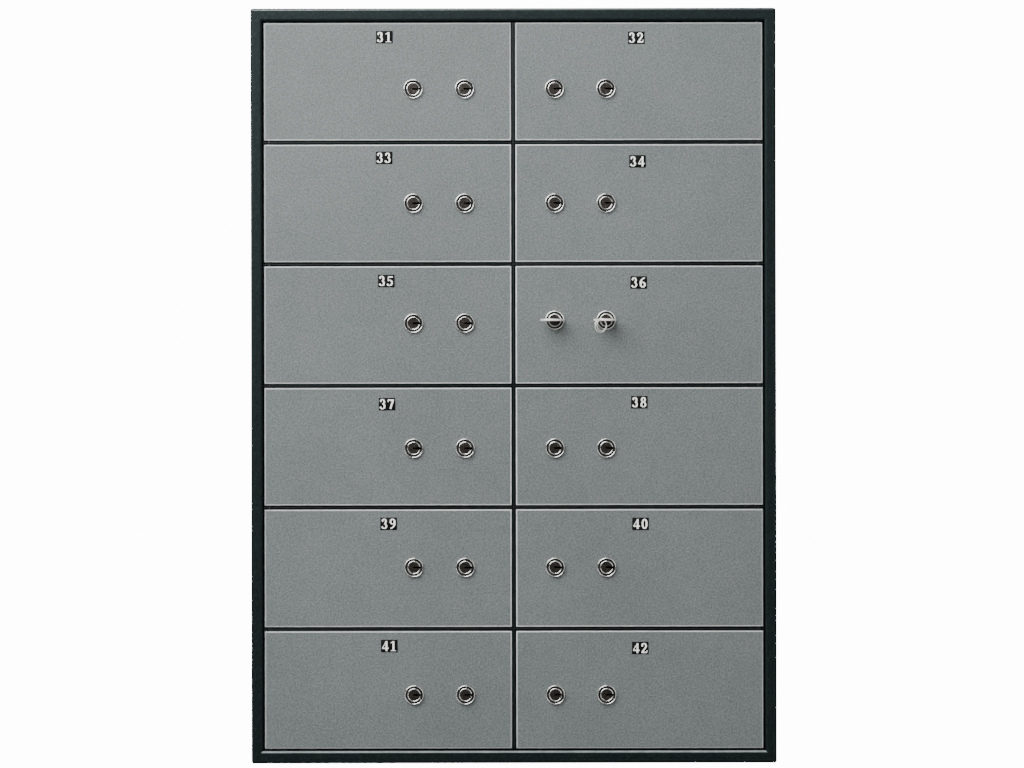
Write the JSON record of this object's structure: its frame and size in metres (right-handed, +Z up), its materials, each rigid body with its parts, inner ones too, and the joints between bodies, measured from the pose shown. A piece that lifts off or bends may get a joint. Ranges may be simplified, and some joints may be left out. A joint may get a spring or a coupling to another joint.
{
  "type": "cluster mailbox unit",
  "caption": "Steel cabinet of numbered lock-box compartments in two columns, each with a hinged door and a dual-key bolt lock.",
  "frame": {"origin": "centre of the casing's bottom face", "axes": "+Z up, doors face -Y, +X to the right when facing the doors"},
  "size_m": [0.64, 0.463, 0.92],
  "materials": {
    "frame_paint": "dark green-black textured powder coat",
    "liner_paint": "dark satin powder coat",
    "door_paint": "grey fine hammertone powder coat",
    "number_black": "black enamelled plate with white figures",
    "lock_chrome": "polished chrome plate, darkened in the keyway",
    "zinc_plate": "bright zinc plate",
    "key_nickel": "nickel-plated brass, lightly scratched"
  },
  "bodies": {
    "cabinet": {"outer_casing": "frame_paint", "centre_partition": "liner_paint", "shelf_1": "liner_paint", "shelf_2": "liner_paint", "shelf_3": "liner_paint", "shelf_4": "liner_paint", "shelf_5": "liner_paint", "hinge_rod_left": "zinc_plate", "hinge_rod_right": "zinc_plate"},
    "door_31": {"door_31": "door_paint"},
    "door_32": {"door_32": "door_paint"},
    "door_33": {"door_33": "door_paint"},
    "door_34": {"door_34": "door_paint"},
    "door_35": {"door_35": "door_paint"},
    "door_36": {"door_36": "door_paint"},
    "door_37": {"door_37": "door_paint"},
    "door_38": {"door_38": "door_paint"},
    "door_39": {"door_39": "door_paint"},
    "door_40": {"door_40": "door_paint"},
    "door_41": {"door_41": "door_paint"},
    "door_42": {"door_42": "door_paint"},
    "renter_plug_31": {"renter_plug_31": "lock_chrome"},
    "lock_bolt_31": {"lock_bolt_31": "zinc_plate"},
    "guard_plug_31": {"guard_plug_31": "lock_chrome"},
    "renter_plug_32": {"renter_plug_32": "lock_chrome"},
    "lock_bolt_32": {"lock_bolt_32": "zinc_plate"},
    "guard_plug_32": {"guard_plug_32": "lock_chrome"},
    "renter_plug_33": {"renter_plug_33": "lock_chrome"},
    "lock_bolt_33": {"lock_bolt_33": "zinc_plate"},
    "guard_plug_33": {"guard_plug_33": "lock_chrome"},
    "renter_plug_34": {"renter_plug_34": "lock_chrome"},
    "lock_bolt_34": {"lock_bolt_34": "zinc_plate"},
    "guard_plug_34": {"guard_plug_34": "lock_chrome"},
    "renter_plug_35": {"renter_plug_35": "lock_chrome"},
    "lock_bolt_35": {"lock_bolt_35": "zinc_plate"},
    "guard_plug_35": {"guard_plug_35": "lock_chrome"},
    "renter_plug_36": {"renter_plug_36": "lock_chrome"},
    "lock_bolt_36": {"lock_bolt_36": "zinc_plate"},
    "guard_plug_36": {"guard_plug_36": "lock_chrome"},
    "renter_plug_37": {"renter_plug_37": "lock_chrome"},
    "lock_bolt_37": {"lock_bolt_37": "zinc_plate"},
    "guard_plug_37": {"guard_plug_37": "lock_chrome"},
    "renter_plug_38": {"renter_plug_38": "lock_chrome"},
    "lock_bolt_38": {"lock_bolt_38": "zinc_plate"},
    "guard_plug_38": {"guard_plug_38": "lock_chrome"},
    "renter_plug_39": {"renter_plug_39": "lock_chrome"},
    "lock_bolt_39": {"lock_bolt_39": "zinc_plate"},
    "guard_plug_39": {"guard_plug_39": "lock_chrome"},
    "renter_plug_40": {"renter_plug_40": "lock_chrome"},
    "lock_bolt_40": {"lock_bolt_40": "zinc_plate"},
    "guard_plug_40": {"guard_plug_40": "lock_chrome"},
    "renter_plug_41": {"renter_plug_41": "lock_chrome"},
    "lock_bolt_41": {"lock_bolt_41": "zinc_plate"},
    "guard_plug_41": {"guard_plug_41": "lock_chrome"},
    "renter_plug_42": {"renter_plug_42": "lock_chrome"},
    "lock_bolt_42": {"lock_bolt_42": "zinc_plate"},
    "guard_plug_42": {"guard_plug_42": "lock_chrome"},
    "renter_key": {"renter_key": "key_nickel"},
    "guard_key": {"guard_key": "key_nickel"},
    "key_ring": {"key_ring": "key_nickel"}
  },
  "joints": [
    {"name": "door_31_swing", "type": "hinge", "parent": "cabinet", "child": "door_31", "pos_m": [-0.298, -0.207, 0.8305], "axis": [0, 0, -1], "range_deg": [0, 95]},
    {"name": "door_32_swing", "type": "hinge", "parent": "cabinet", "child": "door_32", "pos_m": [0.298, -0.207, 0.8305], "axis": [0, 0, 1], "range_deg": [0, 95]},
    {"name": "door_33_swing", "type": "hinge", "parent": "cabinet", "child": "door_33", "pos_m": [-0.298, -0.207, 0.6823], "axis": [0, 0, -1], "range_deg": [0, 95]},
    {"name": "door_34_swing", "type": "hinge", "parent": "cabinet", "child": "door_34", "pos_m": [0.298, -0.207, 0.6823], "axis": [0, 0, 1], "range_deg": [0, 95]},
    {"name": "door_35_swing", "type": "hinge", "parent": "cabinet", "child": "door_35", "pos_m": [-0.298, -0.207, 0.5341], "axis": [0, 0, -1], "range_deg": [0, 95]},
    {"name": "door_36_swing", "type": "hinge", "parent": "cabinet", "child": "door_36", "pos_m": [0.298, -0.207, 0.5341], "axis": [0, 0, 1], "range_deg": [0, 95]},
    {"name": "door_37_swing", "type": "hinge", "parent": "cabinet", "child": "door_37", "pos_m": [-0.298, -0.207, 0.3859], "axis": [0, 0, -1], "range_deg": [0, 95]},
    {"name": "door_38_swing", "type": "hinge", "parent": "cabinet", "child": "door_38", "pos_m": [0.298, -0.207, 0.3859], "axis": [0, 0, 1], "range_deg": [0, 95]},
    {"name": "door_39_swing", "type": "hinge", "parent": "cabinet", "child": "door_39", "pos_m": [-0.298, -0.207, 0.2377], "axis": [0, 0, -1], "range_deg": [0, 95]},
    {"name": "door_40_swing", "type": "hinge", "parent": "cabinet", "child": "door_40", "pos_m": [0.298, -0.207, 0.2377], "axis": [0, 0, 1], "range_deg": [0, 95]},
    {"name": "door_41_swing", "type": "hinge", "parent": "cabinet", "child": "door_41", "pos_m": [-0.298, -0.207, 0.0895], "axis": [0, 0, -1], "range_deg": [0, 95]},
    {"name": "door_42_swing", "type": "hinge", "parent": "cabinet", "child": "door_42", "pos_m": [0.298, -0.207, 0.0895], "axis": [0, 0, 1], "range_deg": [0, 95]},
    {"name": "renter_plug_31_turn", "type": "hinge", "parent": "door_31", "child": "renter_plug_31", "pos_m": [-0.05925, -0.2162, 0.8215], "axis": [0, 1, 0], "range_deg": [0, 90]},
    {"name": "lock_bolt_31_throw", "type": "slide", "parent": "door_31", "child": "lock_bolt_31", "axis": [1, 0, 0], "range_m": [0, 0.014]},
    {"name": "guard_plug_31_turn", "type": "hinge", "parent": "door_31", "child": "guard_plug_31", "pos_m": [-0.12185, -0.2162, 0.8215], "axis": [0, 1, 0], "range_deg": [0, 90]},
    {"name": "renter_plug_32_turn", "type": "hinge", "parent": "door_32", "child": "renter_plug_32", "pos_m": [0.05025, -0.2162, 0.8215], "axis": [0, -1, 0], "range_deg": [0, 90]},
    {"name": "lock_bolt_32_throw", "type": "slide", "parent": "door_32", "child": "lock_bolt_32", "axis": [-1, 0, 0], "range_m": [0, 0.014]},
    {"name": "guard_plug_32_turn", "type": "hinge", "parent": "door_32", "child": "guard_plug_32", "pos_m": [0.11285, -0.2162, 0.8215], "axis": [0, -1, 0], "range_deg": [0, 90]},
    {"name": "renter_plug_33_turn", "type": "hinge", "parent": "door_33", "child": "renter_plug_33", "pos_m": [-0.05925, -0.2162, 0.6823], "axis": [0, 1, 0], "range_deg": [0, 90]},
    {"name": "lock_bolt_33_throw", "type": "slide", "parent": "door_33", "child": "lock_bolt_33", "axis": [1, 0, 0], "range_m": [0, 0.014]},
    {"name": "guard_plug_33_turn", "type": "hinge", "parent": "door_33", "child": "guard_plug_33", "pos_m": [-0.12185, -0.2162, 0.6823], "axis": [0, 1, 0], "range_deg": [0, 90]},
    {"name": "renter_plug_34_turn", "type": "hinge", "parent": "door_34", "child": "renter_plug_34", "pos_m": [0.05025, -0.2162, 0.6823], "axis": [0, -1, 0], "range_deg": [0, 90]},
    {"name": "lock_bolt_34_throw", "type": "slide", "parent": "door_34", "child": "lock_bolt_34", "axis": [-1, 0, 0], "range_m": [0, 0.014]},
    {"name": "guard_plug_34_turn", "type": "hinge", "parent": "door_34", "child": "guard_plug_34", "pos_m": [0.11285, -0.2162, 0.6823], "axis": [0, -1, 0], "range_deg": [0, 90]},
    {"name": "renter_plug_35_turn", "type": "hinge", "parent": "door_35", "child": "renter_plug_35", "pos_m": [-0.05925, -0.2162, 0.5361], "axis": [0, 1, 0], "range_deg": [0, 90]},
    {"name": "lock_bolt_35_throw", "type": "slide", "parent": "door_35", "child": "lock_bolt_35", "axis": [1, 0, 0], "range_m": [0, 0.014]},
    {"name": "guard_plug_35_turn", "type": "hinge", "parent": "door_35", "child": "guard_plug_35", "pos_m": [-0.12185, -0.2162, 0.5361], "axis": [0, 1, 0], "range_deg": [0, 90]},
    {"name": "renter_plug_36_turn", "type": "hinge", "parent": "door_36", "child": "renter_plug_36", "pos_m": [0.05025, -0.2162, 0.5396], "axis": [0, -1, 0], "range_deg": [0, 90]},
    {"name": "lock_bolt_36_throw", "type": "slide", "parent": "door_36", "child": "lock_bolt_36", "axis": [-1, 0, 0], "range_m": [0, 0.014]},
    {"name": "guard_plug_36_turn", "type": "hinge", "parent": "door_36", "child": "guard_plug_36", "pos_m": [0.11285, -0.2162, 0.5396], "axis": [0, -1, 0], "range_deg": [0, 90]},
    {"name": "renter_plug_37_turn", "type": "hinge", "parent": "door_37", "child": "renter_plug_37", "pos_m": [-0.05925, -0.2162, 0.3839], "axis": [0, 1, 0], "range_deg": [0, 90]},
    {"name": "lock_bolt_37_throw", "type": "slide", "parent": "door_37", "child": "lock_bolt_37", "axis": [1, 0, 0], "range_m": [0, 0.014]},
    {"name": "guard_plug_37_turn", "type": "hinge", "parent": "door_37", "child": "guard_plug_37", "pos_m": [-0.12185, -0.2162, 0.3839], "axis": [0, 1, 0], "range_deg": [0, 90]},
    {"name": "renter_plug_38_turn", "type": "hinge", "parent": "door_38", "child": "renter_plug_38", "pos_m": [0.05025, -0.2162, 0.3839], "axis": [0, -1, 0], "range_deg": [0, 90]},
    {"name": "lock_bolt_38_throw", "type": "slide", "parent": "door_38", "child": "lock_bolt_38", "axis": [-1, 0, 0], "range_m": [0, 0.014]},
    {"name": "guard_plug_38_turn", "type": "hinge", "parent": "door_38", "child": "guard_plug_38", "pos_m": [0.11285, -0.2162, 0.3839], "axis": [0, -1, 0], "range_deg": [0, 90]},
    {"name": "renter_plug_39_turn", "type": "hinge", "parent": "door_39", "child": "renter_plug_39", "pos_m": [-0.05925, -0.2162, 0.2387], "axis": [0, 1, 0], "range_deg": [0, 90]},
    {"name": "lock_bolt_39_throw", "type": "slide", "parent": "door_39", "child": "lock_bolt_39", "axis": [1, 0, 0], "range_m": [0, 0.014]},
    {"name": "guard_plug_39_turn", "type": "hinge", "parent": "door_39", "child": "guard_plug_39", "pos_m": [-0.12185, -0.2162, 0.2387], "axis": [0, 1, 0], "range_deg": [0, 90]},
    {"name": "renter_plug_40_turn", "type": "hinge", "parent": "door_40", "child": "renter_plug_40", "pos_m": [0.05025, -0.2162, 0.2387], "axis": [0, -1, 0], "range_deg": [0, 90]},
    {"name": "lock_bolt_40_throw", "type": "slide", "parent": "door_40", "child": "lock_bolt_40", "axis": [-1, 0, 0], "range_m": [0, 0.014]},
    {"name": "guard_plug_40_turn", "type": "hinge", "parent": "door_40", "child": "guard_plug_40", "pos_m": [0.11285, -0.2162, 0.2387], "axis": [0, -1, 0], "range_deg": [0, 90]},
    {"name": "renter_plug_41_turn", "type": "hinge", "parent": "door_41", "child": "renter_plug_41", "pos_m": [-0.05925, -0.2162, 0.0835], "axis": [0, 1, 0], "range_deg": [0, 90]},
    {"name": "lock_bolt_41_throw", "type": "slide", "parent": "door_41", "child": "lock_bolt_41", "axis": [1, 0, 0], "range_m": [0, 0.014]},
    {"name": "guard_plug_41_turn", "type": "hinge", "parent": "door_41", "child": "guard_plug_41", "pos_m": [-0.12185, -0.2162, 0.0835], "axis": [0, 1, 0], "range_deg": [0, 90]},
    {"name": "renter_plug_42_turn", "type": "hinge", "parent": "door_42", "child": "renter_plug_42", "pos_m": [0.05025, -0.2162, 0.0835], "axis": [0, -1, 0], "range_deg": [0, 90]},
    {"name": "lock_bolt_42_throw", "type": "slide", "parent": "door_42", "child": "lock_bolt_42", "axis": [-1, 0, 0], "range_m": [0, 0.014]},
    {"name": "guard_plug_42_turn", "type": "hinge", "parent": "door_42", "child": "guard_plug_42", "pos_m": [0.11285, -0.2162, 0.0835], "axis": [0, -1, 0], "range_deg": [0, 90]},
    {"name": "renter_key_withdraw", "type": "slide", "parent": "renter_plug_36", "child": "renter_key", "axis": [0, -1, 0], "range_m": [0, 0.05]},
    {"name": "guard_key_withdraw", "type": "slide", "parent": "guard_plug_36", "child": "guard_key", "axis": [0, -1, 0], "range_m": [0, 0.05]},
    {"name": "key_ring_swing", "type": "hinge", "parent": "guard_key", "child": "key_ring", "pos_m": [0.10594, -0.24194, 0.5396], "axis": [-0.8192, -0.5736, 0], "range_deg": [-25, 25]}
  ],
  "couplings": [
    {"joint": "renter_plug_31_turn", "follows": "lock_bolt_31_throw", "rad_per_m": 112.2},
    {"joint": "renter_plug_32_turn", "follows": "lock_bolt_32_throw", "rad_per_m": 112.2},
    {"joint": "renter_plug_33_turn", "follows": "lock_bolt_33_throw", "rad_per_m": 112.2},
    {"joint": "renter_plug_34_turn", "follows": "lock_bolt_34_throw", "rad_per_m": 112.2},
    {"joint": "renter_plug_35_turn", "follows": "lock_bolt_35_throw", "rad_per_m": 112.2},
    {"joint": "renter_plug_36_turn", "follows": "lock_bolt_36_throw", "rad_per_m": 112.2},
    {"joint": "renter_plug_37_turn", "follows": "lock_bolt_37_throw", "rad_per_m": 112.2},
    {"joint": "renter_plug_38_turn", "follows": "lock_bolt_38_throw", "rad_per_m": 112.2},
    {"joint": "renter_plug_39_turn", "follows": "lock_bolt_39_throw", "rad_per_m": 112.2},
    {"joint": "renter_plug_40_turn", "follows": "lock_bolt_40_throw", "rad_per_m": 112.2},
    {"joint": "renter_plug_41_turn", "follows": "lock_bolt_41_throw", "rad_per_m": 112.2},
    {"joint": "renter_plug_42_turn", "follows": "lock_bolt_42_throw", "rad_per_m": 112.2}
  ]
}
